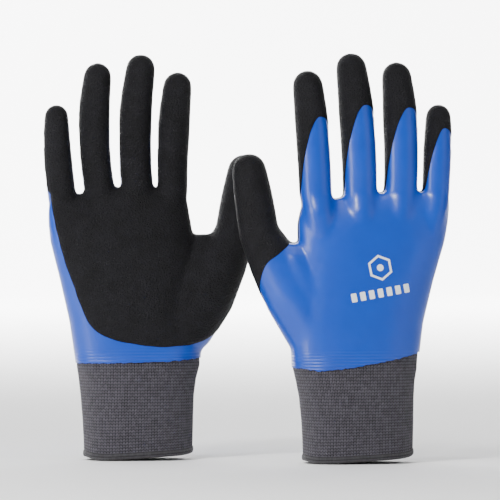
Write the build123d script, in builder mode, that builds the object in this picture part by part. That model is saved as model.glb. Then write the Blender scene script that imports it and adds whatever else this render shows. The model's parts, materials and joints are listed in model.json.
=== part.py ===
"""A pair of dipped electrical insulating gloves, standing on their knitted cuffs.

Each glove is built in its own frame: the origin is the centre of the cuff's lower edge, +Z runs up to
the fingertips, the palm faces -Y and the thumb points to +X. All sizes are millimetres.

A glove is layered from the inside out: a knitted liner, a smooth blue coat over the whole hand, and a
second, sandy black coat over the palm, the thumb and the fingertips. Every layer is the same hand form
grown by its own distance, so that a layer always fits over the one under it. Each finger is a stall of
its own, which bends at its root. The coats stop short of the palm there, and only the liner crosses.
"""

import math
import os

from build123d import *

os.makedirs("parts", exist_ok=True)

# --- layers, from the hand form outwards ------------------------------------------------------------
liner_wall = 0.7
blue_wall = 0.5
black_wall = 0.6
bond_gap = 0.1  # room left between two layers

blue_inside = liner_wall + bond_gap
blue_outside = blue_inside + blue_wall
black_inside = blue_outside + bond_gap
black_outside = black_inside + black_wall

# --- cuff -------------------------------------------------------------------------------------------
cuff_top = 59.0  # where the coats begin
cuff_wall = 1.5
cuff_foot_half_width = 31.8
cuff_foot_half_depth = 21.0
wrist_half_width = 35.0
wrist_half_depth = 21.5
hem_height = 4.0
hem_proud = 0.5  # the bound edge is thicker than the knit, inside and outside
elastic_count = 8
elastic_size = 0.6
elastic_clearance = 0.1
elastic_lowest = 9.0
elastic_top_gap = 8.0  # the highest thread stays this far under the coats

# --- hand, inside the liner: (height, centre across, half width, half depth) ---------------------------
roof = 164.0  # where the fingers leave the hand
corner_share = 0.92  # corner radius over half depth
hand_sections = [
    (cuff_top, 0.0, wrist_half_width, wrist_half_depth),
    (85.0, -1.0, 38.0, 20.5),
    (112.0, -4.5, 41.0, 18.5),
    (140.0, -9.3, 42.5, 16.5),
    (roof, -12.0, 43.5, 13.5),
]

# --- base of the thumb, inside the liner: ((x, y, z), radius) ----------------------------------------
thumb_base_sections = [
    ((18.0, -1.0, 74.0), 17.0),
    ((43.0, -5.0, 110.0), 15.0),
    ((57.5, -8.0, 140.0), 11.2),
]

# --- fingers, inside the liner. lean moves the tip towards the thumb, curl moves it towards the palm,
# length runs up from the roof to the tip, and window up to the top of the blue arch on the back --------
finger_sizes = {
    "little": dict(root=(-47.5, 0.0), lean=-3.5, curl=6.0, length=55.0, radii=(6.7, 6.0), window=37.0),
    "ring": dict(root=(-26.5, 0.0), lean=-0.8, curl=8.0, length=81.0, radii=(7.9, 7.0), window=54.5),
    "middle": dict(root=(-1.6, 0.0), lean=2.6, curl=8.5, length=86.5, radii=(8.0, 7.1), window=58.0),
    "index": dict(root=(23.2, 0.0), lean=4.2, curl=8.0, length=75.5, radii=(7.5, 7.0), window=49.5),
}
thumb_size = dict(lean=9.5, curl=5.0, length=48.0, radii=(11.2, 9.3))
root_overlap = 2.0  # a finger's form starts this far below the roof

# --- bend at each finger's root. Heights are above the coats that the stall stands on ------------------
pivot_height = 7.0
bend_limit = 60.0
thumb_pivot_height = 8.5
thumb_bend_limit = 35.0
thumb_towards = (-0.8, -0.6, 0.0)  # the thumb bends mostly across the palm
bend_clearance = 0.4
back_gap = 0.8  # the coats of a stall start this far up on the side that opens
hole_clearance = 0.3

# --- where the black coat ends ------------------------------------------------------------------------
window_side_drop = 34.0  # the blue window's thumb-side edge ends this far under its top
window_far_drop = 4.0
palm_outline = [
    (-57.0, 168.0),
    (-48.0, 140.0),
    (-32.5, 90.5),
    (-16.4, 75.5),
    (8.0, 70.5),
    (33.0, 72.5),
    (48.0, 79.0),
]
thumb_outline = [(42.0, 146.0), (54.0, 131.0), (62.0, 119.0), (63.0, 108.0), (60.0, 100.0)]
reach = 90.0  # cutters run this far past the glove

# --- print on the back of the hand -----------------------------------------------------------------------
print_gap = 0.05
print_wall = 0.15
print_tilt = 10.0
badge_centre = (-14.0, 123.0)
badge_radius = 8.0
badge_line = 1.6
bar_centre = (-14.0, 106.0)
bar_size = (3.4, 5.4)
bar_pitch = 5.6
bar_count = 7
bar_corner = 0.9

# --- how the two gloves stand ---------------------------------------------------------------------------
pair_half_spacing = 63.0
pair_half_stagger = 31.5  # one glove stands behind the other, so that the thumbs pass


def rounded_section(height, centre_x, half_width, half_depth, grow):
    """A flat, round-cornered section of the hand or cuff, grown outwards by a layer's distance."""
    corner = corner_share * half_depth
    with BuildSketch(Plane.XY.offset(height)) as section:
        with Locations((centre_x, 0)):
            RectangleRounded(2 * (half_width + grow), 2 * (half_depth + grow), corner + grow)
    return section.sketch


def round_section(centre, direction, radius):
    """A round section, square to a centreline."""
    across = Vector(1, 0, 0)
    plane = Plane(origin=centre, x_dir=across - direction * across.dot(direction), z_dir=direction)
    with BuildSketch(plane) as section:
        Circle(radius)
    return section.sketch


def thumb_base_direction(index):
    """Direction of the thumb's base at one of its sections."""
    before = Vector(*thumb_base_sections[max(index - 1, 0)][0])
    after = Vector(*thumb_base_sections[min(index + 1, len(thumb_base_sections) - 1)][0])
    return (after - before).normalized()


def hand_form(grow):
    """The palm and the base of the thumb as one solid, grown by a layer's distance."""
    with BuildPart() as palm:
        for height, centre_x, half_width, half_depth in hand_sections:
            at_roof = grow if height == roof else 0.0
            add(rounded_section(height + at_roof, centre_x, half_width, half_depth, grow))
        loft()
    with BuildPart() as thumb_base:
        for index, (centre, radius) in enumerate(thumb_base_sections):
            add(round_section(Vector(*centre), thumb_base_direction(index), radius + grow))
        loft()
    with BuildPart() as form:
        add(palm.part)
        add(thumb_base.part)
    return form.part


def finger_direction(size):
    """Direction of a finger, which leans towards the thumb and the palm."""
    rise = size["length"] + root_overlap - size["radii"][1]
    return Vector(size["lean"], -size["curl"], rise).normalized()


def finger_form(size, root, grow):
    """A finger as one solid: a tapered stem and a rounded tip, grown by a layer's distance."""
    root_radius, tip_radius = (radius + grow for radius in size["radii"])
    stem = Plane(origin=root, x_dir=(0, 1, 0), z_dir=finger_direction(size))
    length = (size["length"] + root_overlap - size["radii"][1]) / stem.z_dir.Z
    with BuildPart() as form:
        with BuildSketch(Plane(origin=root, x_dir=stem.x_dir, z_dir=stem.y_dir * -1)):
            with BuildLine():
                Line((root_radius, 0), (tip_radius, length))
                RadiusArc((tip_radius, length), (0, length + tip_radius), -tip_radius)
                Polyline((0, length + tip_radius), (0, 0), (root_radius, 0))
            make_face()
        revolve(axis=Axis(root, stem.z_dir))
    return form.part


def shell(outside, inside):
    """A closed layer between two forms."""
    with BuildPart() as layer:
        add(outside)
        add(inside, mode=Mode.SUBTRACT)
    return layer.part


def prism(outline, near, far):
    """An outline in the XZ plane, run from one depth to another along Y."""
    with BuildPart() as block:
        with BuildSketch(Plane.XZ.offset(-near)):
            add(outline)
        extrude(amount=-(far - near))
    return block.part


def black_hand_region():
    """Where the black coat covers the hand: the palm, and all round the base of the thumb."""
    with BuildSketch() as palm_side:
        with BuildLine():
            Spline(*palm_outline)
            Polyline(palm_outline[-1], (reach, palm_outline[-1][1]), (reach, 200), (-reach, 200),
                     (-reach, palm_outline[0][1]), palm_outline[0])
        make_face()
    with BuildSketch() as thumb_side:
        with BuildLine():
            Spline(*thumb_outline)
            Polyline(thumb_outline[-1], (reach, thumb_outline[-1][1]), (reach, 200),
                     (thumb_outline[0][0], 200), thumb_outline[0])
        make_face()
    with BuildPart() as region:
        add(prism(palm_side.sketch, -reach, 0))
        add(prism(thumb_side.sketch, -reach, reach))
    return region.part


def blue_window(size, root):
    """The arched window on a finger's back that the black coat leaves blue."""
    width = size["radii"][0] + black_outside + 2
    height = roof + size["window"]
    top = (root.X - 0.4 * size["radii"][0] + size["lean"] * 0.6, height)
    thumb_side = (root.X + width, height - window_side_drop)
    far_side = (root.X - width, height - window_far_drop)
    floor = roof - window_side_drop
    with BuildSketch() as window:
        with BuildLine():
            Spline(thumb_side, top, far_side)
            Polyline(far_side, (far_side[0], floor), (thumb_side[0], floor), thumb_side)
        make_face()
    return prism(window.sketch, 0, reach)


def above(plane, solid):
    """What of a solid lies on the side of a plane that its normal points to."""
    with BuildPart() as kept:
        add(solid)
        split(bisect_by=plane, keep=Keep.TOP)
    return kept.part


def stall_floor(size, seat, direction, towards, pivot, limit):
    """The slanted plane that a stall's coats start from. On the side that it bends towards, it is as
    high as keeps the coats off the hand when the stall has turned about its pivot to its limit."""
    side = (towards - direction * towards.dot(direction)).normalized()
    along = finger_direction(size)
    lean = along.dot(side) / along.dot(direction)
    radius = size["radii"][0] + black_outside
    spread = radius + lean * (root_overlap + black_outside)
    turn = math.radians(limit)
    upright_rise = pivot + (spread * math.sin(turn) - pivot + bend_clearance) / math.cos(turn)
    rise = upright_rise / (1 - lean * math.tan(turn))
    near_point = seat + side * (spread + lean * rise) + direction * rise
    far_point = seat - side * radius + direction * back_gap
    slope = (far_point - near_point).normalized()
    return Plane(origin=near_point, x_dir=slope, z_dir=direction - slope * direction.dot(slope))


def finger_layers(name, size, root, seats, direction, towards, bend):
    """Liner, blue coat and black coat of one stall. seats are where its liner and its coats start."""
    liner_seat, coat_seat = seats
    grows = (0.0, liner_wall, blue_inside, blue_outside, black_inside, black_outside)
    inner, liner_out, blue_in, blue_out, black_in, black_out = (
        finger_form(size, root, grow) for grow in grows
    )
    floor = stall_floor(size, coat_seat, direction, towards, *bend)
    black = above(floor, shell(black_out, black_in))
    if "window" in size:
        black = shell(black, blue_window(size, root))
    return {
        f"{name}_liner": above(Plane(origin=liner_seat, z_dir=direction), shell(liner_out, inner)),
        f"{name}_blue_coat": above(floor, shell(blue_out, blue_in)),
        f"{name}_black_coat": black,
    }


def hand_layers():
    """Liner, blue coat and black coat of the hand, each with a hole for every finger."""
    grows = (0.0, liner_wall, blue_inside, blue_outside, black_inside, black_outside)
    inner, liner_out, blue_in, blue_out, black_in, black_out = (hand_form(grow) for grow in grows)
    layers = {}
    for name, outside, inside, hole_grow in (
        ("hand_liner", liner_out, inner, 0.0),
        ("hand_blue_coat", blue_out, blue_in, liner_wall + hole_clearance),
        ("palm_black_coat", black_out, black_in, liner_wall + hole_clearance),
    ):
        with BuildPart() as layer:
            add(shell(outside, inside))
            for size in finger_sizes.values():
                root = Vector(*size["root"], roof - root_overlap)
                add(finger_form(size, root, hole_grow), mode=Mode.SUBTRACT)
            if name == "palm_black_coat":
                add(black_hand_region(), mode=Mode.INTERSECT)
        layers[name] = layer.part
    return layers


def cuff_form(low, high, grow):
    """The inside of the cuff between two heights, grown by a distance."""
    with BuildPart() as form:
        for height in (low, high):
            share = height / cuff_top
            half_width = cuff_foot_half_width + (wrist_half_width - cuff_foot_half_width) * share
            half_depth = cuff_foot_half_depth + (wrist_half_depth - cuff_foot_half_depth) * share
            add(rounded_section(height, 0.0, half_width, half_depth, grow))
        loft()
    return form.part


def elastic_rings(clearance):
    """The rubber threads laid round the inside of the cuff, grown by a clearance."""
    pitch = (cuff_top - elastic_top_gap - elastic_lowest) / (elastic_count - 1)
    with BuildPart() as rings:
        for number in range(elastic_count):
            low = elastic_lowest + number * pitch - clearance
            high = low + elastic_size + 2 * clearance
            inside = elastic_clearance - clearance
            add(shell(cuff_form(low, high, inside + elastic_size + 2 * clearance),
                      cuff_form(low, high, inside)))
    return rings.part


def cuff_layers():
    """The knitted cuff, its bound hem and its elastic threads."""
    knit = shell(cuff_form(hem_height + bond_gap, cuff_top - bond_gap, cuff_wall),
                 cuff_form(hem_height + bond_gap, cuff_top - bond_gap, 0.0))
    return {
        "cuff_knit": shell(knit, elastic_rings(elastic_clearance)),
        "cuff_hem": shell(cuff_form(0, hem_height, cuff_wall + hem_proud), cuff_form(0, hem_height, -hem_proud)),
        "cuff_elastic": elastic_rings(0.0),
    }


def back_print():
    """A plain transfer on the back of the hand: a six-sided badge outline and a row of short bars."""
    with BuildSketch() as marks:
        with Locations(Location((*badge_centre, 0), print_tilt)):
            RegularPolygon(badge_radius, 6)
            RegularPolygon(badge_radius - badge_line, 6, mode=Mode.SUBTRACT)
            Circle(badge_line * 1.4)
        with Locations(Location((*bar_centre, 0), print_tilt)):
            with GridLocations(bar_pitch, 1, bar_count, 1):
                RectangleRounded(*bar_size, bar_corner)
    with BuildPart() as transfer:
        add(shell(hand_form(blue_outside + print_gap + print_wall), hand_form(blue_outside + print_gap)))
        add(prism(marks.sketch, 0, reach), mode=Mode.INTERSECT)
    return transfer.part


def one_glove():
    """Every piece of one glove by its name, in the glove's own frame."""
    pieces = {**cuff_layers(), **hand_layers(), "back_print": back_print()}
    bend = (pivot_height, bend_limit)
    for name, size in finger_sizes.items():
        root = Vector(*size["root"], roof - root_overlap)
        seats = (Vector(*size["root"], roof + blue_inside), Vector(*size["root"], roof + black_outside))
        pieces.update(
            finger_layers(name, size, root, seats, Vector(0, 0, 1), Vector(0, -1, 0), bend)
        )
    collar = Vector(*thumb_base_sections[-1][0])
    direction = thumb_base_direction(len(thumb_base_sections) - 1)
    seats = (collar + direction * bond_gap, collar)
    root = collar - direction * root_overlap
    bend = (thumb_pivot_height, thumb_bend_limit)
    pieces.update(
        finger_layers("thumb", thumb_size, root, seats, direction, Vector(*thumb_towards), bend)
    )
    return pieces


glove = one_glove()
places = {
    "rear": Location((-pair_half_spacing, pair_half_stagger, 0)),
    "front": Location((pair_half_spacing, -pair_half_stagger, 0), (0, 0, 180)),
}
for side, place in places.items():
    for name, piece in glove.items():
        placed = piece.moved(place)
        placed.label = f"{side}_{name}"
        export_step(placed, f"parts/{placed.label}.step")
        print(placed.label, len(placed.solids()), round(placed.volume))
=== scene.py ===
"""The looks of a pair of coated work gloves, built round their packed design.

One glove is shaped in its own frame, in millimetres: the origin is the centre of the cuff's lower edge,
+Z runs up to the fingertips, the palm faces -Y and the thumb points to +X. Each of its pieces is then
set down twice, where the frame has the rear glove and the front glove.
"""

import functools
import json
import math

import bmesh
import bpy
import numpy as np
from mathutils import Matrix, Vector, noise
from mathutils.bvhtree import BVHTree


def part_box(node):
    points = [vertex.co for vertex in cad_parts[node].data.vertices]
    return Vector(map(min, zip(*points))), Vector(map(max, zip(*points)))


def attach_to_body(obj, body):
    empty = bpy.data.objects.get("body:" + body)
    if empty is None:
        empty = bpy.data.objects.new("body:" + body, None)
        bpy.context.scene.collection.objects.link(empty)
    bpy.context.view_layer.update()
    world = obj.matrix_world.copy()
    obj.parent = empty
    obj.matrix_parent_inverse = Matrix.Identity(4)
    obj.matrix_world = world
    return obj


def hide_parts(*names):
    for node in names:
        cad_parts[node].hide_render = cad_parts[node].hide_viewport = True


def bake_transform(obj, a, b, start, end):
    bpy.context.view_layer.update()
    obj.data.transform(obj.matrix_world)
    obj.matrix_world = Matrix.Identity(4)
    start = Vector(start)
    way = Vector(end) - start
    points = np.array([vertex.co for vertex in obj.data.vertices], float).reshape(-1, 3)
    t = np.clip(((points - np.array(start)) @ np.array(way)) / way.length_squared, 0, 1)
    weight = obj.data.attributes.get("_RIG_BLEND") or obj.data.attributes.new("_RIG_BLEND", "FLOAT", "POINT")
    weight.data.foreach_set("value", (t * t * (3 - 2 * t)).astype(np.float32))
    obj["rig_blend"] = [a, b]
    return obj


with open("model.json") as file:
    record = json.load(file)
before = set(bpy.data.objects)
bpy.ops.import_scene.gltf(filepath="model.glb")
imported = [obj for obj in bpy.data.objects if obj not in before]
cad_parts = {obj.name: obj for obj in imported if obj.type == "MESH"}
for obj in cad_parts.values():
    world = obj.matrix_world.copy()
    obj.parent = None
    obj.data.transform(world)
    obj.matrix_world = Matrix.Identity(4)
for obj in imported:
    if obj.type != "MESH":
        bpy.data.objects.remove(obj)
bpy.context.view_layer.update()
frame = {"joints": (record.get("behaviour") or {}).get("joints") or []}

MM = 0.001
SIDES = {"rear": 0.0, "front": math.pi}
FINGERS = ("little", "ring", "middle", "index")
STALLS = FINGERS + ("thumb",)
UP = Vector((0, 0, 1))


# --- places taken from the frame -----------------------------------------------------------------------


def glove_matrix(side):
    """Where one glove's own frame, in millimetres, stands in the scene, in metres."""
    low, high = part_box(f"{side}_cuff_hem")
    foot = Vector(((low[0] + high[0]) / 2, (low[1] + high[1]) / 2, low[2]))
    return Matrix.Translation(foot) @ Matrix.Rotation(SIDES[side], 4, "Z") @ Matrix.Scale(MM, 4)


PLACES = {side: glove_matrix(side) for side in SIDES}
TO_OWN = PLACES["rear"].inverted()


def own_box(node):
    """A rear node's box in the glove's own frame."""
    low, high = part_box(f"rear_{node}")
    return TO_OWN @ Vector(low), TO_OWN @ Vector(high)


def knuckle(stall):
    """The point that a stall turns about, in the glove's own frame."""
    joint = next(row for row in frame["joints"] if row["name"] == f"rear_{stall}_knuckle")
    return TO_OWN @ Vector(joint["pos_m"])


coat_low = own_box("hand_blue_coat")[0].z  # the coats begin here, above the cuff
roof = own_box("hand_blue_coat")[1].z  # the fingers leave the hand here
KNUCKLES = {stall: knuckle(stall) for stall in STALLS}
TIPS = {stall: own_box(f"{stall}_blue_coat")[1].z for stall in STALLS}  # tops of the blue coat

# --- the hand's form: the outside of the blue coat --------------------------------------------------------

# (height, centre across, half width, half depth)
PALM = {
    "rear": [
        (coat_low - 22, -1.6, 35.2, 21.5),
        (coat_low, -1.1, 39.2, 22.8),
        (86.0, -3.0, 41.4, 21.2),
        (112.0, -6.5, 43.9, 19.0),
        (136.0, -11.6, 45.0, 16.4),
        (147.0, -13.1, 44.6, 13.8),
        (156.0, -14.0, 44.0, 10.6),
        (162.0, -14.3, 43.2, 7.6),
        (roof + 1, -14.3, 41.2, 4.6),
    ],
    "front": [
        (coat_low - 22, 1.2, 35.2, 21.5),
        (coat_low, 1.9, 39.2, 22.8),
        (86.0, 0.6, 41.4, 21.2),
        (112.0, -4.3, 43.0, 19.0),
        (136.0, -8.9, 45.7, 16.4),
        (147.0, -9.7, 47.0, 13.8),
        (156.0, -10.5, 47.2, 11.0),
        (162.0, -11.0, 46.8, 8.0),
        (roof + 1, -11.4, 44.0, 4.8),
    ],
}
# How much higher the webs between the fingers stand than the palm's own top: (across, rise)
WEBS = {
    "rear": ((-36.0, -3.9), (-12.0, 3.0), (11.0, 2.0)),
    "front": ((-38.0, -0.5), (-14.0, -0.5), (12.0, -6.5)),
}
WEB_START = 136.0  # the palm's top begins to follow the webs here
PALM_FULLNESS = 2.5  # of an oval's corners, where 2 is a plain ellipse

# The thumb's base, from the heel of the hand to where the thumb stands free: (centre, radius)
THUMB_BASE = [
    ((14.0, 0.0, 66.0), 14.0),
    ((24.0, -2.0, 82.0), 18.6),
    ((38.0, -4.2, 103.0), 17.6),
    ((49.5, -6.6, 124.0), 15.0),
    ((57.5, -8.0, 141.0), 12.7),
]
# How far outwards the free thumb is moved, and then each ring of its base
THUMB_SHIFT = {"rear": 1.2, "front": 2.8}
THUMB_BULGE = {"rear": (2.2, 3.2, 3.2, 1.6), "front": (2.6, 2.6, 1.3, 0.3)}
THUMB = dict(lean=5.2, curl=5.0, radii=(12.0, 11.6, 10.1))  # its tip's way outwards and towards the palm
BASE_LEAN = 13.0  # how far across the thumb would run over its length if it went on as its base does
THUMB_DEPTH = 0.95  # a thumb's depth as a share of its width

# The web between the thumb and the hand, up to its top edge: (height, across, half width, half depth)
THUMB_WEB = [
    (88.0, 25.0, 16.0, 17.4),
    (104.0, 31.0, 15.0, 16.8),
    (117.0, 36.0, 13.0, 15.2),
    (127.0, 40.0, 10.5, 12.4),
]
THUMB_WEB_TOP = {"rear": (139.5, 41.6, 7.5, 7.0), "front": (134.5, 41.6, 7.5, 7.0)}
THUMB_WEB_BACK = -2.5  # the web lies this far towards the palm

# shift moves a finger's root across the hand, lean its tip and bow its middle. curl moves the tip towards
# the palm. radii run from the root to the tip.
SHAPES = {
    "rear": {
        "little": dict(shift=-2.2, lean=-3.7, bow=-0.7, curl=6.0, radii=(8.7, 8.7, 8.1, 7.0)),
        "ring": dict(shift=1.0, lean=-2.4, bow=-2.7, curl=8.0, radii=(9.4, 9.3, 9.5, 8.2)),
        "middle": dict(shift=-0.3, lean=1.0, bow=-2.3, curl=8.5, radii=(9.9, 9.9, 9.9, 8.6)),
        "index": dict(shift=-3.0, lean=2.2, bow=-0.8, curl=8.0, radii=(9.2, 9.5, 9.7, 8.5)),
    },
    "front": {
        "little": dict(shift=-2.0, lean=-2.6, bow=0.1, curl=6.0, radii=(8.3, 8.6, 8.5, 7.4)),
        "ring": dict(shift=-0.7, lean=1.1, bow=-1.1, curl=8.0, radii=(10.2, 10.4, 10.5, 8.8)),
        "middle": dict(shift=-0.2, lean=4.2, bow=-0.9, curl=8.5, radii=(10.4, 10.7, 10.6, 9.0)),
        "index": dict(shift=2.9, lean=3.7, bow=-0.4, curl=8.0, radii=(9.9, 10.1, 10.0, 8.9)),
    },
}
RADII_AT = (0.0, 0.33, 0.66, 1.0)
FINGER_RINGS = (0.0, 0.2, 0.4, 0.6, 0.8)
THUMB_RINGS = (0.0, 0.3, 0.6, 0.85)
DOME_ANGLES = (0, 24, 45, 63, 77, 86)
FINGER_DEPTH = 0.93  # a finger's depth as a share of its width
# Each finger runs on into the hand as a ridge: (drop below the roof, towards the back, share of the radius)
RIDGE = ((40, 4.0, 0.62), (25, 4.6, 0.88), (11, 3.2, 1.0))
RIDGES_CLOSING = 0.004  # share by which the ridges draw together for each millimetre of drop
SKIN_FACE = 1.15  # side of the skin's even faces
SOFTENING = 14  # rounds of smoothing over the joins


def smooth(low, high, value):
    """0 up to low, 1 from high on, and a soft slope between them."""
    share = np.clip((value - low) / (high - low), 0, 1)
    return share * share * (3 - 2 * share)


def finger_centre(side, stall, share):
    """Centre of a finger, across and towards the back, at shares of its length above the roof."""
    shape = SHAPES[side][stall]
    root = KNUCKLES[stall].x + shape["shift"]
    across = root + shape["lean"] * share + shape["bow"] * 4 * share * (1 - share)
    return across, -shape["curl"] * share**2


def finger_spot(side, stall, share):
    """Centre and direction of a finger at a share of its length above the roof."""
    length = TIPS[stall] - SHAPES[side][stall]["radii"][-1] - roof
    spots = []
    for at in (share, share + 0.02):
        spots.append(Vector((*finger_centre(side, stall, at), roof + length * at)))
    return spots[0], (spots[1] - spots[0]).normalized()


def thumb_spot(side, share):
    """Centre and direction of the thumb at a share of its length above its base."""
    start = Vector(THUMB_BASE[-1][0])
    start.x += THUMB_SHIFT[side]
    length = TIPS["thumb"] - THUMB["radii"][2] - start.z
    centre = start + Vector((THUMB["lean"] * share, -THUMB["curl"] * share, length * share))
    lean_here = BASE_LEAN + (THUMB["lean"] * 0.6 - BASE_LEAN) * share
    return centre, Vector((lean_here, -THUMB["curl"], length)).normalized()


def section(bm, centre, direction, half_width, half_depth, fullness=2.0, count=32):
    """A closed ring of edges, square to a direction: an ellipse, or fuller at the corners."""
    ring = bmesh.ops.create_circle(bm, segments=count, radius=1.0)["verts"]
    side = (Vector((1, 0, 0)) - direction * direction.x).normalized()
    turn = Matrix((side, direction.cross(side), direction)).transposed()
    for vert in ring:
        x, y = vert.co.x, vert.co.y
        reach = (abs(x) ** fullness + abs(y) ** fullness) ** (-1 / fullness)
        vert.co = centre + turn @ Vector((x * reach * half_width, y * reach * half_depth, 0))
    return list({edge for vert in ring for edge in vert.link_edges})


def loft(bm, rings):
    """A closed body through rings of edges."""
    for below, above in zip(rings, rings[1:]):
        bmesh.ops.bridge_loops(bm, edges=below + above)
    for ring in (rings[0], rings[-1]):
        bmesh.ops.contextual_create(bm, geom=ring)


def dome(bm, centre, direction, radius, depth_share):
    """The rings of a rounded fingertip."""
    rings = []
    for angle in DOME_ANGLES:
        turn = math.radians(angle)
        middle = centre + direction * radius * math.sin(turn)
        across = radius * math.cos(turn)
        rings.append(section(bm, middle, direction, across, across * depth_share))
    return rings


def add_palm(bm, side):
    """The hand from under the cuff to the webs, whose heights its top follows."""
    loft(bm, [section(bm, Vector((x, 0, z)), UP, w, d, PALM_FULLNESS, 64) for z, x, w, d in PALM[side]])
    for vert in bm.verts:
        vert.co.z += np.interp(vert.co.x, *zip(*WEBS[side])) * smooth(WEB_START, roof, vert.co.z)


def add_finger(bm, side, stall):
    """A finger and the ridge that it makes on the back of the hand."""
    radii = SHAPES[side][stall]["radii"]
    root = finger_centre(side, stall, 0)[0]
    rings = []
    for drop, back, scale in RIDGE:
        centre = Vector((root * (1 - drop * RIDGES_CLOSING), back, roof - drop))
        rings.append(section(bm, centre, UP, radii[0] * scale, radii[0] * scale))
    for share in FINGER_RINGS:
        centre, direction = finger_spot(side, stall, share)
        radius = np.interp(share, RADII_AT, radii)
        rings.append(section(bm, centre, direction, radius, radius * FINGER_DEPTH))
    loft(bm, rings + dome(bm, *finger_spot(side, stall, 1.0), radii[-1], FINGER_DEPTH))


def add_thumb(bm, side):
    """The thumb on its base, and the web that joins it to the hand."""
    rings = []
    for number, (centre, radius) in enumerate(THUMB_BASE[:-1]):
        before = Vector(THUMB_BASE[max(number - 1, 0)][0])
        direction = (Vector(THUMB_BASE[number + 1][0]) - before).normalized()
        out = THUMB_SHIFT[side] * number / len(THUMB_BASE)
        shift = Vector((out + THUMB_BULGE[side][number], 0, 0))
        rings.append(section(bm, Vector(centre) + shift, direction, radius, radius))
    for share in THUMB_RINGS:
        centre, direction = thumb_spot(side, share)
        radius = np.interp(share, (0, 0.5, 1), THUMB["radii"])
        rings.append(section(bm, centre, direction, radius, radius * THUMB_DEPTH))
    loft(bm, rings + dome(bm, *thumb_spot(side, 1.0), THUMB["radii"][-1], THUMB_DEPTH))
    web = THUMB_WEB + [THUMB_WEB_TOP[side]]
    loft(bm, [section(bm, Vector((x, THUMB_WEB_BACK, z)), UP, w, d) for z, x, w, d in web])


def hand_surface(side):
    """The hand as one smooth closed skin."""
    bm = bmesh.new()
    add_palm(bm, side)
    for stall in FINGERS:
        add_finger(bm, side, stall)
    add_thumb(bm, side)
    bmesh.ops.recalc_face_normals(bm, faces=bm.faces)
    return fused(bm)


def fused(bm):
    """Overlapping closed bodies made one skin of small even faces, then softened."""
    mesh = bpy.data.meshes.new("form")
    bm.to_mesh(mesh)
    bm.free()
    obj = bpy.data.objects.new("form", mesh)
    bpy.context.scene.collection.objects.link(obj)
    remesh = obj.modifiers.new("skin", "REMESH")
    remesh.mode = "VOXEL"
    remesh.voxel_size = SKIN_FACE
    remesh.adaptivity = 0.0
    whole = bpy.data.meshes.new_from_object(obj.evaluated_get(bpy.context.evaluated_depsgraph_get()))
    bpy.data.objects.remove(obj)
    skin = bmesh.new()
    skin.from_mesh(whole)
    bpy.data.meshes.remove(whole)
    for _ in range(SOFTENING):
        bmesh.ops.smooth_vert(skin, verts=skin.verts, factor=0.5, use_axis_x=True, use_axis_y=True,
                              use_axis_z=True)
    return skin


# --- where the black coat ends -------------------------------------------------------------------------

# Lower edge of the black coat on the palm, across and up, from the little finger's side to the thumb's side
PALM_EDGE = [
    (-58.0, 172.0), (-55.5, 156.0), (-52.8, 139.0), (-47.6, 120.0), (-41.5, 102.3), (-36.8, 88.8),
    (-30.4, 80.3), (-21.0, 75.2), (-8.5, 72.2), (9.0, 70.3), (25.0, 70.8), (38.0, 74.0), (52.0, 82.0),
]
# Its edge on the back, from the crotch of the thumb down to the thumb's outer side
THUMB_EDGE = [
    (37.5, 178.0), (37.5, 152.0), (41.0, 138.0), (49.7, 129.0), (57.0, 123.5), (60.5, 116.0), (61.0, 107.0),
    (60.0, 98.0),
]
# How far short of the glove's side the black coat stops at the base of the thumb
BLACK_SHORT = {"rear": 4.0, "front": 9.5}
BACK_FROM = 30.0  # the back of the hand has black on it only further across than this

# The blue window on the back of each finger is rounded at its top, and its two sides run down the finger
WINDOW_DROP = {"little": 14.5, "ring": 28.0, "middle": 32.0, "index": 28.2}  # tip to window top
PEAK_TURN = math.radians(27)  # its top lies this far round towards the little finger
THUMB_SIDE_FALL = 0.0042  # its edge falls by this times the square of the degrees from its top
FAR_SIDE_FALL = 3.7  # its edge falls by this at FAR_SIDE_TURN from its top, and as the square of the turn
FAR_SIDE_TURN = math.radians(53)
FAR_SIDE_END = 97.0  # degrees round a finger from which the edge drops steeply
FAR_SIDE_DROP = 4.0  # and by how much for each degree
PALM_SIDE_LINE = 0.3  # black lies everywhere further towards the palm than this from a finger's middle
FAR_LINE_SHIFT = 1.8  # and further still on the little finger's side
THUMB_FROM = 42.0  # what lies further across than this is the thumb
CROTCH_FLOOR = 120.0  # and nothing below this is
BORDER_WAVES = (0.12, 0.5)  # the black border's unevenness: waves a millimetre and their height
EDGE_WAVES = (0.45, 0.7)  # and that of the coats' edge above the cuff


def curve_points(points, steps=8):
    """Points on a smooth curve through the given ones."""
    spots = [np.array(point) for point in points]
    ends = [2 * spots[0] - spots[1], *spots, 2 * spots[-1] - spots[-2]]
    curve = []
    for before, start, end, after in zip(ends, ends[1:], ends[2:], ends[3:]):
        slope = end - before
        bend = 2 * before - 5 * start + 4 * end - after
        twist = 3 * start - before - 3 * end + after
        for share in np.linspace(0, 1, steps, endpoint=False):
            curve.append(0.5 * (2 * start + slope * share + bend * share**2 + twist * share**3))
    return np.array(curve + [ends[-2]])


def side_of(curve, x, z):
    """Signed distance from a curve in the XZ plane, positive to the left of its direction."""
    nearest = np.full(len(x), 1e9)
    sign = np.ones(len(x))
    for (start_x, start_z), (end_x, end_z) in zip(curve, curve[1:]):
        step_x, step_z = end_x - start_x, end_z - start_z
        from_x, from_z = x - start_x, z - start_z
        share = np.clip((from_x * step_x + from_z * step_z) / (step_x * step_x + step_z * step_z), 0, 1)
        distance = np.hypot(from_x - share * step_x, from_z - share * step_z)
        closer = distance < nearest
        nearest = np.where(closer, distance, nearest)
        sign = np.where(closer, np.sign(step_x * from_z - step_z * from_x), sign)
    return nearest * sign


def waves(points, rate, height):
    """Soft unevenness at each point."""
    return np.array([noise.noise(Vector(point) * rate) for point in points]) * height


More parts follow.
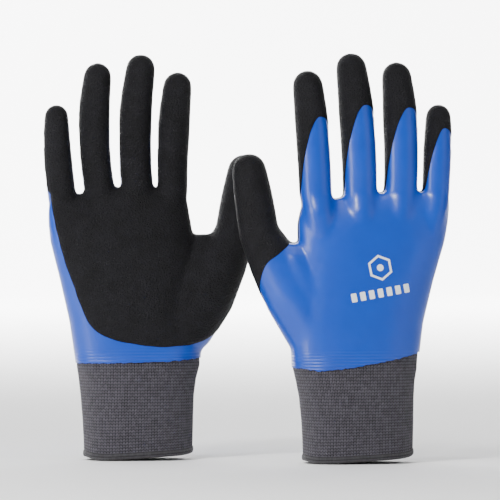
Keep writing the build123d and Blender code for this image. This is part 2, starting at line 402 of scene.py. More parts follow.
def soft_max(a, b, radius):
    """The larger of two fields, rounded where they cross."""
    share = np.clip(0.5 + 0.5 * (a - b) / radius, 0, 1)
    return b + (a - b) * share + radius * share * (1 - share)


def hand_field(side, x, y, z):
    """How far points lie inside the black coat of the palm and the thumb."""
    short = BLACK_SHORT[side] * (1 - smooth(98, 114, z)) * smooth(10, 30, x) + 0.5
    palm = -soft_max(-side_of(curve_points(PALM_EDGE), x, z), y + short, 2.0)
    thumb = side_of(curve_points(THUMB_EDGE), x, z)
    return soft_max(palm, np.where(x > BACK_FROM, thumb, -20.0), 1.5)


def finger_field(side, x, y, z):
    """How far points lie outside the blue window of the finger that they are nearest to."""
    tops = np.array([TIPS[stall] for stall in FINGERS])
    share = np.clip((z[:, None] - roof) / (tops - roof), 0, 1)
    centres = [finger_centre(side, stall, share[:, number]) for number, stall in enumerate(FINGERS)]
    centre_x, centre_y = (np.stack(parts, axis=1) for parts in zip(*centres))
    nearest = np.argmin(np.abs(x[:, None] - centre_x), axis=1)
    points = np.arange(len(x))
    off_x = x - centre_x[points, nearest]
    off_y = y - centre_y[points, nearest]
    turn = np.arctan2(-off_x, off_y)  # 0 on the back, positive towards the little finger
    window_top = tops[nearest] - np.array([WINDOW_DROP[stall] for stall in FINGERS])[nearest]
    thumb_side = THUMB_SIDE_FALL * np.degrees(np.maximum(PEAK_TURN - turn, 0)) ** 2
    far_side = FAR_SIDE_FALL * (np.maximum(turn - PEAK_TURN, 0) / FAR_SIDE_TURN) ** 2
    far_side += np.maximum(np.degrees(turn) - FAR_SIDE_END, 0) * FAR_SIDE_DROP
    above = np.clip(z - (window_top - thumb_side - far_side), -12, 12)
    towards_palm = -off_y - PALM_SIDE_LINE - FAR_LINE_SHIFT * smooth(50, 85, np.degrees(turn))
    return soft_max(above, towards_palm, 2.0)


def black_field(side, points):
    """How far each point lies inside the black coat, negative where the blue coat shows."""
    x, y, z = points.T
    hand = hand_field(side, x, y, z)
    on_finger = smooth(roof, roof + 8, z)
    blended = hand + (finger_field(side, x, y, z) - hand) * on_finger
    return np.where(x > THUMB_FROM + smooth(150, 200, z) * 8, hand, blended) + waves(points, *BORDER_WAVES)


# --- cutting the skin into coats --------------------------------------------------------------------------

# Height of the blue coat's lower edge across the glove, from the little finger's side to the thumb's side
COAT_EDGE = {
    "rear": ((-37, 60.0), (-26, 60.2), (-12, 60.4), (8, 61.0), (24, 61.8), (38, 63.2)),
    "front": ((-38, 68.0), (-22, 64.0), (-3, 60.6), (10, 58.2), (27, 56.6), (38, 58.2)),
}
ROOT_CUT = 8.5  # the fingers' pieces begin this far above the roof, clear of the webs
THUMB_CUT = 2.0  # the thumb's pieces begin this far above its base
BLEND_REACH = 15.0  # length of a stall over which its bend is spread
KNIT_TOP = 71.0  # the cuff's knit runs on under the coats' edge up to here, where the liner begins

BLUE_WALL = 0.5
BLACK_LIFT = 0.05  # room between the two coats
BLACK_EDGE = 0.1  # thickness of the black coat at its border
BLACK_RISE = 0.55  # and how much more it has further in
BLACK_SLOPE = 1.6  # width of the slope between the two
LINER_WALL = 0.6
OUTER, INNER, RIM = 0, 1, 2  # the kinds of face in a wall
SCRATCH = ("black", "above_cuff", "outward", "shade", "part", "kind")  # layers that no finished piece keeps


def cut_on_zero(bm, values, name):
    """Puts edges exactly where a value given for each vertex is zero, and keeps the values in a layer."""
    bm.verts.index_update()
    values = list(values)
    moved = set()
    for edge in bm.edges:
        low, high = (values[vert.index] for vert in edge.verts)
        if low * high >= 0:
            continue
        share = low / (low - high)
        for vert, near in zip(edge.verts, (share, 1 - share)):
            if near < 0.25 and vert.index not in moved:
                vert.co = vert.co.lerp(edge.other_vert(vert).co, near)
                values[vert.index] = 0.0
                moved.add(vert.index)
                break
    crossing = [e for e in bm.edges if values[e.verts[0].index] * values[e.verts[1].index] < 0]
    for edge in crossing:
        low, high = (values[vert.index] for vert in edge.verts)
        _, vert = bmesh.utils.edge_split(edge, edge.verts[0], low / (low - high))
        vert.index = len(values)
        values.append(0.0)
    layer = bm.verts.layers.float.new(name)
    for vert in bm.verts:
        vert[layer] = values[vert.index]
    bmesh.ops.connect_verts(bm, verts=[v for v in bm.verts if v[layer] == 0.0])


def face_value(face, layer):
    """Sum of a layer over a face's corners. Its sign says which side of the cut the face is on."""
    return sum(vert[layer] for vert in face.verts)


def stall_start(side, stall):
    """Where a stall's pieces begin: a point and the direction of the stall there."""
    if stall != "thumb":
        return UP * (roof + ROOT_CUT), UP
    centre, direction = thumb_spot(side, 0.0)
    return centre + direction * THUMB_CUT, direction


def is_thumb(point):
    """Whether a point of the skin is on the thumb's side of the crotch."""
    return point.x > THUMB_FROM + max(point.z - 150, 0) * 0.05 and point.z > CROTCH_FLOOR


def cut_roots(bm, side):
    """Puts edges where the stalls' pieces begin. One plane serves all four fingers."""
    for stall in ("index", "thumb"):
        origin, direction = stall_start(side, stall)
        near = []
        for face in bm.faces:
            middle = face.calc_center_median()
            if is_thumb(middle) == (stall == "thumb") and abs((middle - origin).dot(direction)) < 3:
                near.append(face)
        geom = list({v for f in near for v in f.verts}) + list({e for f in near for e in f.edges}) + near
        bmesh.ops.bisect_plane(bm, geom=geom, plane_co=origin, plane_no=direction, dist=0.02)


def number_parts(bm, side):
    """Numbers the skin's faces: 0 for the hand, then each stall in its turn."""
    part = bm.faces.layers.int.new("part")
    origin, direction = stall_start(side, "thumb")
    for face in bm.faces:
        point = face.calc_center_median()
        if is_thumb(point):
            face[part] = 5 if (point - origin).dot(direction) > 0 else 0
        elif point.z > roof + ROOT_CUT:
            offsets = []
            for stall in FINGERS:
                share = min((point.z - roof) / (TIPS[stall] - roof), 1)
                offsets.append(abs(point.x - finger_centre(side, stall, share)[0]))
            face[part] = 1 + offsets.index(min(offsets))


def glove_skin(side):
    """The outside of the blue coat, with edges along the black coat's border and the stalls' roots."""
    bm = hand_surface(side)
    points = np.array([vert.co for vert in bm.verts])
    cut_on_zero(bm, black_field(side, points), "black")
    points = np.array([vert.co for vert in bm.verts])
    edge_x, edge_z = zip(*COAT_EDGE[side])
    edge = np.interp(points[:, 0], edge_x, edge_z) + waves(points, *EDGE_WAVES)
    cut_on_zero(bm, points[:, 2] - edge, "above_cuff")
    above = bm.verts.layers.float["above_cuff"]
    bmesh.ops.delete(bm, geom=[f for f in bm.faces if face_value(f, above) < 0], context="FACES")
    cut_roots(bm, side)
    number_parts(bm, side)
    outward = bm.verts.layers.float_vector.new("outward")
    bm.normal_update()
    for vert in bm.verts:
        vert[outward] = vert.normal
    return bm


# --- the coats and the liner -----------------------------------------------------------------------------


def black_thickness(black):
    """Thickness of the black coat at a depth inside its border."""
    return BLACK_EDGE + smooth(0, BLACK_SLOPE, black) * BLACK_RISE


def layer_over(skin, lift, wanted=lambda black: True):
    """The outside of one layer: some of the skin's faces, lifted off it, with their smooth normals kept."""
    bm = skin.copy()
    black = bm.verts.layers.float["black"]
    bmesh.ops.delete(bm, geom=[f for f in bm.faces if not wanted(face_value(f, black))], context="FACES")
    outward = bm.verts.layers.float_vector["outward"]
    for vert in bm.verts:
        vert.co += vert[outward] * lift(vert[black])
    bm.normal_update()
    shade = bm.verts.layers.float_vector.new("shade")
    for vert in bm.verts:
        vert[shade] = vert.normal
    return bm


def backed(bm):
    """Gives an open sheet a second one that faces the other way, joined to it round the rim."""
    rim = [edge for edge in bm.edges if len(edge.link_faces) == 1]
    copy = bmesh.ops.duplicate(bm, geom=bm.verts[:] + bm.edges[:] + bm.faces[:])
    back_verts = [item for item in copy["geom"] if isinstance(item, bmesh.types.BMVert)]
    back_faces = [item for item in copy["geom"] if isinstance(item, bmesh.types.BMFace)]
    bmesh.ops.reverse_faces(bm, faces=back_faces)
    twin = copy["vert_map"]
    rim_faces = []
    for edge in rim:
        loop = edge.link_loops[0]
        start, end = loop.vert, loop.link_loop_next.vert
        rim_faces.append(bm.faces.new((end, start, twin[start], twin[end])))
    return back_verts, back_faces, rim_faces


def wall_of(layer, number, thickness):
    """One part of a layer as a closed wall, whose thickness depends on the depth inside the black coat."""
    bm = layer.copy()
    part = bm.faces.layers.int["part"]
    bmesh.ops.delete(bm, geom=[f for f in bm.faces if f[part] != number], context="FACES")
    kind = bm.faces.layers.int.new("kind")
    inner_verts, inner_faces, rim_faces = backed(bm)
    black = bm.verts.layers.float["black"]
    outward = bm.verts.layers.float_vector["outward"]
    for vert in inner_verts:
        vert.co -= vert[outward] * thickness(vert[black])
    for face in inner_faces:
        face[kind] = INNER
    for face in rim_faces:
        face[kind] = RIM
    bm.normal_update()
    return bm


def corner_normals(bm, turn):
    """A normal for each corner, taken from the whole layer, so that its parts join without a visible line."""
    kind = bm.faces.layers.int["kind"]
    shade = bm.verts.layers.float_vector["shade"]
    normals = []
    for face in bm.faces:
        if face[kind] == RIM:
            normals += [turn @ face.normal] * len(face.loops)
            continue
        sign = 1 if face[kind] == OUTER else -1
        normals += [turn @ loop.vert[shade] * sign for loop in face.loops]
    return normals


def add_piece(name, bm, side, material, normals=None):
    """A mesh set down where its glove stands."""
    mesh = bpy.data.meshes.new(name)
    bmesh.ops.transform(bm, matrix=PLACES[side], verts=bm.verts)
    bm.to_mesh(mesh)
    bm.free()
    mesh.shade_smooth()
    if normals:
        mesh.normals_split_custom_set(normals)
    for layer in [attribute.name for attribute in mesh.attributes if attribute.name in SCRATCH]:
        mesh.attributes.remove(mesh.attributes[layer])
    mesh.materials.append(material)
    obj = bpy.data.objects.new(name, mesh)
    bpy.context.scene.collection.objects.link(obj)
    return obj


def attach(obj, side, stall):
    """The hand's pieces stay with the hand. A stall's pieces bend away from it at the knuckle."""
    if stall == "hand":
        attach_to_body(obj, f"{side}_hand")
        return
    origin, direction = stall_start(side, stall)
    start, end = (PLACES[side] @ (origin + direction * reach) for reach in (0.3, BLEND_REACH))
    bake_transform(obj, f"{side}_hand", f"{side}_{stall}", start, end)


def make_layer(side, layer, word, thickness, material):
    """One layer of a glove as a piece on the hand and one on each stall."""
    for number, stall in enumerate(("hand",) + STALLS):
        bm = wall_of(layer, number, thickness)
        normals = corner_normals(bm, PLACES[side].to_3x3().normalized())
        body = "palm" if (stall, word) == ("hand", "black_coat") else stall
        obj = add_piece(f"{side}_{body}_{word}_skin", bm, side, material, normals)
        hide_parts(f"{side}_{body}_{word}")
        attach(obj, side, stall)


def make_blue_coat(side, skin):
    """The smooth coat over the whole hand."""
    layer = layer_over(skin, lambda black: 0.0)
    make_layer(side, layer, "blue_coat", lambda black: BLUE_WALL, blue_rubber())


def make_black_coat(side, skin):
    """The sandy coat over the palm and the fingertips, thin at its border."""
    layer = layer_over(skin, lambda black: BLACK_LIFT + black_thickness(black), lambda black: black > 0)
    make_layer(side, layer, "black_coat", black_thickness, black_rubber())


def make_liner(side, skin):
    """The knit inside the coats, from the cuff's knit up."""
    layer = layer_over(skin, lambda black: -(BLUE_WALL + BLACK_LIFT))
    geom = layer.verts[:] + layer.edges[:] + layer.faces[:]
    bmesh.ops.bisect_plane(layer, geom=geom, plane_co=UP * (KNIT_TOP + 0.5), plane_no=UP, clear_inner=True)
    make_layer(side, layer, "liner", lambda black: LINER_WALL, liner_knit())


# --- the knitted cuff ------------------------------------------------------------------------------------

# (height, half width, half depth)
CUFF = [(0.0, 33.8, 22.3), (12.0, 34.1, 22.3), (26.0, 34.6, 22.2), (40.0, 35.4, 22.1), (50.0, 36.7, 22.0),
        (58.0, 38.4, 21.9), (KNIT_TOP, 38.9, 21.1)]
# (height, how far the cuff's middle lies across)
CUFF_SWAY = {
    "rear": ((10.0, -1.2), (24.0, -1.4), (40.0, -1.8), (50.0, -1.7), (60.0, -1.1), (71.0, -1.9)),
    "front": ((10.0, 0.0), (24.0, 0.2), (40.0, 0.9), (50.0, 1.6), (60.0, 1.9), (71.0, 1.4)),
}
HEM_SLANT = {"rear": 0.055, "front": -0.055}  # rise of the lower edge across the cuff
HEM_LOW_SIDE = 22.0  # the slant begins this far across
HEM_CORNER = 2.0  # how much more the edge rises at the cuff's two sides
HEM_FADE = 34.0  # height at which the stitches run level again

WALES = 92  # columns of stitches round the cuff
COURSE = 1.9  # height of a row of stitches
PER_WALE = 4  # mesh faces across a column
PER_COURSE = 3  # mesh faces up a row
KNIT_FOOT = 1.2  # the knit begins here, inside the hem
KNIT_WALL = 0.75
RIB = 0.26  # depth of the grooves between columns
RIPPLE = 0.04  # and of those between rows

# The hem's section: (height, how far outwards)
HEM = [(0.15, -0.9), (0.0, -0.3), (0.1, 0.2), (0.7, 0.5), (1.8, 0.6), (2.9, 0.5), (3.7, 0.25), (4.1, -0.1),
       (4.0, -0.9), (2.0, -1.15)]
HEM_STITCHES = 184

THREADS = 8
THREAD_RADIUS = 0.3
THREAD_GAP = 0.15  # between the elastic threads and the knit


def cuff_line(side, height, count):
    """Evenly spaced points round the cuff at a height, and the directions outwards there."""
    heights, widths, depths = zip(*CUFF)
    width = np.interp(height, heights, widths)
    depth = np.interp(height, heights, depths)
    turn = np.linspace(0, 2 * math.pi, 3001)
    cos, sin = np.cos(turn), np.sin(turn)
    reach = (np.abs(cos) ** PALM_FULLNESS + np.abs(sin) ** PALM_FULLNESS) ** (-1 / PALM_FULLNESS)
    x, y = cos * reach * width, sin * reach * depth
    length = np.concatenate(([0], np.cumsum(np.hypot(np.diff(x), np.diff(y)))))
    at = np.arange(count) / count * length[-1]
    x, y = np.interp(at, length, x), np.interp(at, length, y)
    along = np.stack((np.roll(x, -1) - np.roll(x, 1), np.roll(y, -1) - np.roll(y, 1)), axis=1)
    along /= np.linalg.norm(along, axis=1)[:, None]
    sway = np.interp(height, *zip(*CUFF_SWAY[side]))
    return np.stack((x + sway, y), axis=1), np.stack((along[:, 1], -along[:, 0]), axis=1)


def hem_rise(side, x, z):
    """The cuff's lower edge isn't quite level."""
    slant = (HEM_LOW_SIDE + x * math.copysign(1, HEM_SLANT[side])) * abs(HEM_SLANT[side])
    return (slant + HEM_CORNER * (np.abs(x) / 34) ** 8) * (1 - smooth(0, HEM_FADE, z))


def add_tube(bm, side, rows, count, stitches):
    """A flat grid rolled into a closed tube round the cuff.

    Each row is a height and how far outwards it is at each point. The stitches' coordinates are laid before
    the grid's edges are joined.
    """
    places = []
    for height, outward in rows:
        line, out = cuff_line(side, height, count)
        points = line + out * np.broadcast_to(outward, count)[:, None]
        rise = hem_rise(side, line[:, 0], height)
        places.append([(*point, height + up) for point, up in zip(points, rise)])
    uv = bm.loops.layers.uv.get("stitches") or bm.loops.layers.uv.new("stitches")
    grid = bmesh.ops.create_grid(bm, x_segments=count, y_segments=len(rows), size=0.5)["verts"]
    spots = {vert: (round((vert.co.x + 0.5) * count), round((vert.co.y + 0.5) * len(rows))) for vert in grid}
    for vert, (column, row) in spots.items():
        for loop in vert.link_loops:
            loop[uv].uv = (column * stitches / count, rows[row % len(rows)][0] / COURSE)
        vert.co = places[row % len(rows)][column % count]
    bmesh.ops.remove_doubles(bm, verts=grid, dist=1e-4)
    bmesh.ops.recalc_face_normals(bm, faces=bm.faces)


def add_fixed_piece(side, word, bm, material):
    """A finished piece that stays with the hand."""
    obj = add_piece(f"{side}_{word}_skin", bm, side, material)
    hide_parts(f"{side}_{word}")
    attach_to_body(obj, f"{side}_hand")
    return obj


def make_knit(side):
    """The ribbed knit, grooved between its columns and its rows of stitches."""
    count = WALES * PER_WALE
    grooves = (np.cos(np.arange(count) / PER_WALE * 2 * math.pi) - 1) / 2 * RIB
    heights = np.arange(KNIT_FOOT, KNIT_TOP, COURSE / PER_COURSE)
    ripples = RIPPLE * np.cos(heights / COURSE * 2 * math.pi)
    outside = [(height, grooves + ripple) for height, ripple in zip(heights, ripples)]
    inside = [(height, -KNIT_WALL) for height in heights[::-3]]
    bm = bmesh.new()
    add_tube(bm, side, outside + inside, count, WALES)
    add_fixed_piece(side, "cuff_knit", bm, cuff_stitches())


def make_hem(side):
    """The overlocked edge."""
    bm = bmesh.new()
    add_tube(bm, side, HEM, HEM_STITCHES * 2, HEM_STITCHES)
    add_fixed_piece(side, "cuff_hem", bm, hem_stitches())


def make_elastic(side):
    """Thin elastic threads round the inner face of the knit."""
    low, high = (corner.z for corner in own_box("cuff_elastic"))
    turns = np.radians(range(0, 360, 60))
    bm = bmesh.new()
    for height in np.linspace(low + THREAD_RADIUS, high - THREAD_RADIUS, THREADS):
        rows = []
        for turn in turns:
            inwards = KNIT_WALL + THREAD_GAP + THREAD_RADIUS * math.cos(turn)
            rows.append((height + THREAD_RADIUS * math.sin(turn), -inwards))
        add_tube(bm, side, rows, 120, 1)
    add_fixed_piece(side, "cuff_elastic", bm, elastic_thread())


# --- the print on the back -------------------------------------------------------------------------------

BADGE = Vector((-10.4, 119.8))
BADGE_RADIUS = 8.0
BADGE_LINE = 1.5
DOT_RADIUS = 2.1
BARS = Vector((-10.4, 104.3))
BAR_COUNT = 7
BAR_SIZE = (3.4, 5.4)
BAR_PITCH = 5.6
BAR_CORNER = 0.55
PRINT_TILT = math.radians(-10)
PRINT_GAP = 0.04  # between the coat and the film of ink
PRINT_WALL = 0.14


def tilted(bm, verts, centre):
    """Turns marks drawn flat in X and Y to the print's slant."""
    bmesh.ops.rotate(bm, verts=verts, cent=(*centre, 0), matrix=Matrix.Rotation(PRINT_TILT, 3, "Z"))


def add_badge(bm):
    """A six-sided badge with a dot in it, cut finely enough to follow the hand."""
    loops = []
    for radius in (BADGE_RADIUS, BADGE_RADIUS - BADGE_LINE):
        ring = bmesh.ops.create_circle(bm, segments=6, radius=radius)["verts"]
        sides = list({edge for vert in ring for edge in vert.link_edges})
        split = bmesh.ops.subdivide_edges(bm, edges=sides, cuts=5)
        loops += [item for item in split["geom"] if isinstance(item, bmesh.types.BMEdge)] + sides
    bmesh.ops.bridge_loops(bm, edges=list({edge for edge in loops if edge.is_valid}))
    bmesh.ops.create_circle(bm, cap_ends=True, cap_tris=True, segments=24, radius=DOT_RADIUS)
    bmesh.ops.translate(bm, verts=bm.verts, vec=(*BADGE, 0))
    tilted(bm, bm.verts, BADGE)


def add_bars(bm):
    """A row of short bars with rounded corners."""
    badge = set(bm.verts)
    for number in range(BAR_COUNT):
        bar = bmesh.ops.create_grid(bm, x_segments=4, y_segments=6, size=0.5)["verts"]
        bmesh.ops.scale(bm, verts=bar, vec=(*BAR_SIZE, 1))
        along = (number - (BAR_COUNT - 1) / 2) * BAR_PITCH
        bmesh.ops.translate(bm, verts=bar, vec=(BARS.x + along, BARS.y, 0))
        corners = [vert for vert in bar if len(vert.link_edges) == 2]
        bmesh.ops.bevel(bm, geom=corners, offset=BAR_CORNER, segments=3, affect="VERTICES", profile=0.5)
    tilted(bm, [vert for vert in bm.verts if vert not in badge], BARS)


def make_print(side, skin):
    """The marks laid on the back of the hand as a thin film."""
    bm = bmesh.new()
    add_badge(bm)
    add_bars(bm)
    tree = BVHTree.FromBMesh(skin)
    for vert in bm.verts:
        spot, normal, _, _ = tree.ray_cast(Vector((vert.co.x, 60, vert.co.y)), Vector((0, -1, 0)))
        vert.co = spot + normal * PRINT_GAP
    bmesh.ops.recalc_face_normals(bm, faces=bm.faces)
    bmesh.ops.reverse_faces(bm, faces=[face for face in bm.faces if face.normal.y < 0])
    bm.normal_update()
    raised = {vert: vert.co + vert.normal * PRINT_WALL for vert in bm.verts}
    backed(bm)
    for vert, place in raised.items():
        vert.co = place
    bmesh.ops.recalc_face_normals(bm, faces=bm.faces)
    obj = add_fixed_piece(side, "back_print", bm, print_ink())
    obj.data.set_sharp_from_angle(angle=math.radians(40))


# --- finishes --------------------------------------------------------------------------------------------


class Finish:
    """A node material being put together."""

    def __init__(self, name):
        self.material = bpy.data.materials.new(name)
        self.material.use_nodes = True
        self.nodes = self.material.node_tree.nodes
        self.links = self.material.node_tree.links
        self.surface = self.nodes["Principled BSDF"]

    def set(self, **values):
        """Sets plain values on the surface, by its sockets' names with _ for a space."""
        for word, value in values.items():
            self.surface.inputs[word.replace("_", " ")].default_value = value

    def node(self, kind, inputs=None, **settings):
        """A new node. An input is either a value or another node's socket."""
        made = self.nodes.new(kind)
        for word, value in settings.items():
            setattr(made, word, value)
        for socket, value in (inputs or {}).items():
            if isinstance(value, bpy.types.NodeSocket):
                self.links.new(value, made.inputs[socket])
            else:
                made.inputs[socket].default_value = value
        return made

    def place(self):
        """A point's own place on the object, in metres."""
        return self.node("ShaderNodeTexCoord").outputs["Object"]

    def noise(self, scale, detail=2.0, roughness=0.5):
        """Noise of a scale in bumps a millimetre."""
        inputs = {"Vector": self.place(), "Scale": scale / MM, "Detail": detail, "Roughness": roughness}
        return self.node("ShaderNodeTexNoise", inputs).outputs["Fac"]

    def math(self, operation, *values):
        """Arithmetic on values and sockets."""
        return self.node("ShaderNodeMath", dict(enumerate(values)), operation=operation).outputs[0]

    def add(self, *values):
        return self.math("ADD", *values)

    def times(self, *values):
        return self.math("MULTIPLY", *values)

    def ramp(self, value, low, high, to_low=0.0, to_high=1.0):
        """A value taken from one range to another, and held at its ends."""
        inputs = {"Value": value, "From Min": low, "From Max": high, "To Min": to_low, "To Max": to_high}
        return self.node("ShaderNodeMapRange", inputs).outputs["Result"]

    def colour(self, value, low, high):
        """A colour between two, as a value goes from 0 to 1."""
        made = self.node("ShaderNodeMix", data_type="RGBA")
        self.links.new(value, made.inputs[0])
        made.inputs[6].default_value = (*low, 1)
        made.inputs[7].default_value = (*high, 1)
        self.links.new(made.outputs[2], self.surface.inputs["Base Color"])

    def roughness(self, value, low, high):
        self.links.new(self.ramp(value, 0, 1, low, high), self.surface.inputs["Roughness"])

    def bump(self, height, millimetres, strength=1.0):
        """Relief of a depth in millimetres."""
        inputs = {"Height": height, "Strength": strength, "Distance": millimetres * MM}
        made = self.node("ShaderNodeBump", inputs)
        self.links.new(made.outputs["Normal"], self.surface.inputs["Normal"])


def knit_through(finish):
    """Rows of the knit showing through the thin edge of the coat above the cuff."""
    height = finish.node("ShaderNodeSeparateXYZ", {"Vector": finish.place()}).outputs["Z"]
    rows = finish.math("SINE", finish.times(height, 2 * math.pi / (COURSE * MM)))
    thin = finish.ramp(height, (coat_low + 1) * MM, (coat_low + 12) * MM, 0.9, 0.0)
    return finish.times(rows, thin)


@functools.cache
def blue_rubber():
    """Smooth dipped latex: glossy, with a faint ripple and shallow dimples."""
    finish = Finish("blue_coating")
    ripple = finish.noise(0.06, 3)
    grain = finish.noise(1.6, 3)
    finish.colour(ripple, (0.0012, 0.049, 0.4), (0.0025, 0.064, 0.49))
    finish.roughness(finish.noise(0.25, 4), 0.24, 0.42)
    ripples = finish.add(finish.times(ripple, 3.0), finish.times(grain, 0.22))
    finish.bump(finish.add(ripples, knit_through(finish)), 0.14)
    finish.set(Coat_Weight=0.08, Coat_Roughness=0.12)
    return finish.material


@functools.cache
def black_rubber():
    """Sandy foam rubber: matt, with fine uneven grit."""
    finish = Finish("black_coating")
    grit = finish.noise(0.95, 5, 0.7)
    cells = {"Vector": finish.place(), "Scale": 0.75 / MM}
    pits = finish.node("ShaderNodeTexVoronoi", cells).outputs["Distance"]
    patches = finish.ramp(finish.times(grit, finish.noise(0.12, 3)), 0.15, 0.4)
    finish.colour(patches, (0.0015, 0.0013, 0.0024), (0.006, 0.0056, 0.0082))
    finish.roughness(grit, 0.45, 0.75)
    finish.bump(finish.add(grit, finish.times(pits, 0.5)), 1.1)
    finish.set(Specular_IOR_Level=0.24)
    return finish.material


def stitch_height(finish, slant):
    """Rows of V-shaped stitches from the piece's own stitch coordinates, as heights that give the relief and
    the painted shade in the grooves, and a number for each stitch.
    """
    place = finish.node("ShaderNodeUVMap", uv_map="stitches").outputs["UV"]
    parts = finish.node("ShaderNodeSeparateXYZ", {"Vector": place})
    column = finish.add(parts.outputs["X"], 0.5)
    off = finish.math("ABSOLUTE", finish.math("SUBTRACT", finish.math("FRACT", column), 0.5))
    row = finish.add(parts.outputs["Y"], finish.times(off, slant))
    along = finish.math("ABSOLUTE", finish.math("SINE", finish.times(row, math.pi)))
    round_leg = finish.math("SINE", finish.times(finish.math("MINIMUM", finish.times(off, 2), 1), math.pi))
    leg = finish.add(finish.times(round_leg, 0.6), 0.4)
    # The grooves between columns are lower, which also darkens them there as painted shade.
    groove = finish.ramp(off, 0.36, 0.5, 1.0, 0.25)
    height = finish.times(finish.times(finish.math("POWER", along, 0.6), leg), groove)
    cell = {"X": finish.math("FLOOR", column), "Y": finish.math("FLOOR", row)}
    stitch = finish.node("ShaderNodeCombineXYZ", cell).outputs[0]
    number = finish.node("ShaderNodeTexWhiteNoise", {"Vector": stitch}, noise_dimensions="2D")
    return height, number.outputs["Value"]


def yarn(name, slant, dark, light, bump):
    """Spun yarn in stitches, with painted shade where the stitches are low."""
    finish = Finish(name)
    height, number = stitch_height(finish, slant)
    fuzz = finish.noise(2.2, 4, 0.7)
    # Painted shade: the yarn's colour is darker where the stitches are low, in the grooves between columns
    # and rows; each stitch's number and the fuzz add random tone.
    shade = finish.add(height, finish.times(finish.math("SUBTRACT", number, 0.5), 0.25))
    shade = finish.add(shade, finish.times(finish.math("SUBTRACT", fuzz, 0.5), 0.5))
    finish.colour(finish.ramp(shade, 0.1, 0.95), dark, light)
    finish.bump(finish.add(height, finish.times(fuzz, 0.25)), bump)
    finish.set(Roughness=0.9, Specular_IOR_Level=0.25, Sheen_Weight=0.12, Sheen_Roughness=0.5)
    return finish.material


@functools.cache
def cuff_stitches():
    """The cuff's grey knit, in slanted stitches."""
    # The darker colour is painted shade in the grooves between stitches, the lighter one the yarn on the
    # stitches' tops; random tone lies between them.
    return yarn("cuff_knit", 1.0, (0.0085, 0.008, 0.01), (0.1, 0.092, 0.113), 0.45)


@functools.cache
def hem_stitches():
    """The darker overlocking round the hem, in straight stitches."""
    # The darker colour is painted shade in the grooves between stitches, the lighter one the thread on the
    # stitches' tops; random tone lies between them.
    return yarn("cuff_hem", 0.0, (0.014, 0.013, 0.015), (0.07, 0.067, 0.074), 0.3)


@functools.cache
def liner_knit():
    """Plain grey knit seen only inside the glove."""
    finish = Finish("knit_liner")
    fuzz = finish.noise(1.2, 4, 0.7)
    finish.colour(fuzz, (0.09, 0.088, 0.095), (0.2, 0.195, 0.21))
    finish.bump(fuzz, 0.4)
    finish.set(Roughness=0.92)
    return finish.material


@functools.cache
def elastic_thread():
    """Off-white elastic, wrapped in thread."""
    finish = Finish("elastic")
    twist = finish.noise(1.8, 2)
    finish.colour(twist, (0.45, 0.44, 0.42), (0.62, 0.61, 0.58))
    finish.bump(twist, 0.08)
    finish.set(Roughness=0.6)
    return finish.material


@functools.cache
def print_ink():
    """White ink, a little uneven."""
    finish = Finish("print")
    wear = finish.noise(0.9, 4)
    finish.colour(wear, (0.84, 0.9, 0.96), (0.94, 0.97, 1.0))
    finish.bump(wear, 0.03)
    finish.set(Roughness=0.42)
    return finish.material


# --- the studio ------------------------------------------------------------------------------------------

CAMERA_TURN = math.radians(-10)
CAMERA_RISE = math.radians(0.4)
CAMERA_DISTANCE = 2.8
CAMERA_LENS = 325.0
CAMERA_AIM = Vector((0.0012, 0.0, 0.1304))

# (name, point it shines at, turn and rise in degrees, distance, size, watts)
LIGHTS = [
    ("key", CAMERA_AIM, (-42, 36), 1.5, (0.22, 0.22), 17),
    ("fill", CAMERA_AIM, (50, 15), 1.8, (1.1, 1.1), 2.6),
    ("top", CAMERA_AIM, (0, 75), 1.4, (0.8, 0.5), 4),
    ("paper", Vector((0, 6.3, 0.6)), (0, 50), 3.0, (8.0, 1.5), 1500),
    ("near_paper", Vector((0, 2.6, 0)), (0, 85), 1.6, (5.0, 1.6), 140),
    ("left", CAMERA_AIM, (-66, 10), 1.3, (0.4, 0.6), 8),
    ("front_paper", Vector((0, -0.9, 0)), (0, 88), 1.3, (2.4, 0.7), 2),
]
WORLD_STRENGTH = 0.3

PAPER_HALF = 12.0  # half the paper's width
PAPER_FRONT = -9.0
PAPER_BEND = 6.0  # the paper begins to curve up this far back
BEND_RADIUS = 1.5
PAPER_TOP = 8.0
PAPER_GAP = 0.0005  # between the cuffs' hems and the paper


def direction_from(turn, rise):
    """The direction from an aim towards what looks at it, turned from the front and raised."""
    return Vector((math.sin(turn) * math.cos(rise), -math.cos(turn) * math.cos(rise), math.sin(rise)))


def make_camera():
    """A long lens, a little to the left of the front."""
    back = direction_from(CAMERA_TURN, CAMERA_RISE)
    data = bpy.data.cameras.new("camera")
    data.lens = CAMERA_LENS
    data.sensor_width = 36
    camera = bpy.data.objects.new("camera", data)
    camera.location = CAMERA_AIM + back * CAMERA_DISTANCE
    camera.rotation_euler = (-back).to_track_quat("-Z", "Y").to_euler()
    bpy.context.scene.collection.objects.link(camera)
    bpy.context.scene.camera = camera


def area_light(name, aim, angles, distance, size, power):
    """A rectangle of light at a distance from the point that it shines at."""
    data = bpy.data.lights.new(name, "AREA")
    data.shape = "RECTANGLE"
    data.size, data.size_y = size
    data.energy = power
    light = bpy.data.objects.new(name, data)
    back = direction_from(*map(math.radians, angles))
    light.location = aim + back * distance
    light.rotation_euler = (-back).to_track_quat("-Z", "Y").to_euler()
    bpy.context.scene.collection.objects.link(light)


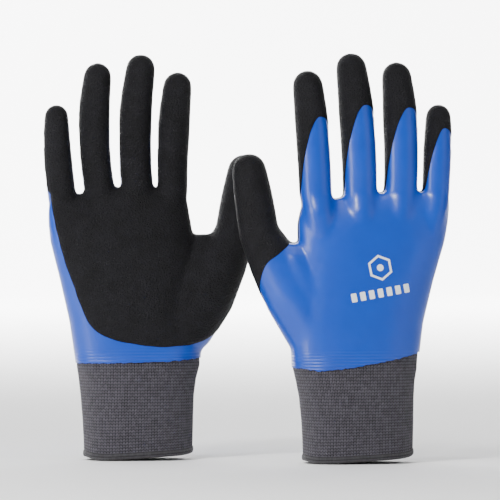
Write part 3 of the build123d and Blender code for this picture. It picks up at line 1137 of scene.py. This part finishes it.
def make_floor():
    """A pale sheet of paper that curves up into a backdrop far behind."""
    bm = bmesh.new()
    front = [bm.verts.new((x, PAPER_FRONT, 0)) for x in (PAPER_HALF, -PAPER_HALF)]
    floor = bmesh.ops.extrude_edge_only(bm, edges=[bm.edges.new(front)])["geom"]
    bend = [item for item in floor if isinstance(item, bmesh.types.BMVert)]
    bmesh.ops.translate(bm, verts=bend, vec=(0, PAPER_BEND - PAPER_FRONT, 0))
    edge = [item for item in floor if isinstance(item, bmesh.types.BMEdge) and set(item.verts) == set(bend)]
    centre = (0, PAPER_BEND, BEND_RADIUS)
    curve = bmesh.ops.spin(bm, geom=edge, cent=centre, axis=(1, 0, 0), angle=math.pi / 2, steps=9)
    edge = [item for item in curve["geom_last"] if isinstance(item, bmesh.types.BMEdge)]
    wall = bmesh.ops.extrude_edge_only(bm, edges=edge)["geom"]
    top = [item for item in wall if isinstance(item, bmesh.types.BMVert)]
    bmesh.ops.translate(bm, verts=top, vec=(0, 0, PAPER_TOP - BEND_RADIUS))
    bmesh.ops.translate(bm, verts=bm.verts, vec=(0, 0, -PAPER_GAP))
    mesh = bpy.data.meshes.new("floor")
    bm.to_mesh(mesh)
    bm.free()
    mesh.shade_smooth()
    finish = Finish("studio_paper")
    finish.set(Base_Color=(0.97, 0.97, 0.97, 1), Roughness=0.9, Specular_IOR_Level=0.1)
    mesh.materials.append(finish.material)
    floor = bpy.data.objects.new("floor", mesh)
    bpy.context.scene.collection.objects.link(floor)


def make_studio():
    """Paper, camera, soft even light from all round and the lights."""
    make_floor()
    make_camera()
    world = bpy.data.worlds.new("studio")
    world.use_nodes = True
    background = world.node_tree.nodes["Background"]
    background.inputs["Color"].default_value = (1, 1, 1, 1)
    background.inputs["Strength"].default_value = WORLD_STRENGTH
    bpy.context.scene.world = world
    for light in LIGHTS:
        area_light(*light)


def make_glove(side):
    """One glove: its coats, its liner, its cuff and its print."""
    skin = glove_skin(side)
    make_blue_coat(side, skin)
    make_black_coat(side, skin)
    make_liner(side, skin)
    make_knit(side)
    make_hem(side)
    make_elastic(side)
    make_print(side, skin)
    skin.free()


make_studio()
for glove_side in SIDES:
    make_glove(glove_side)
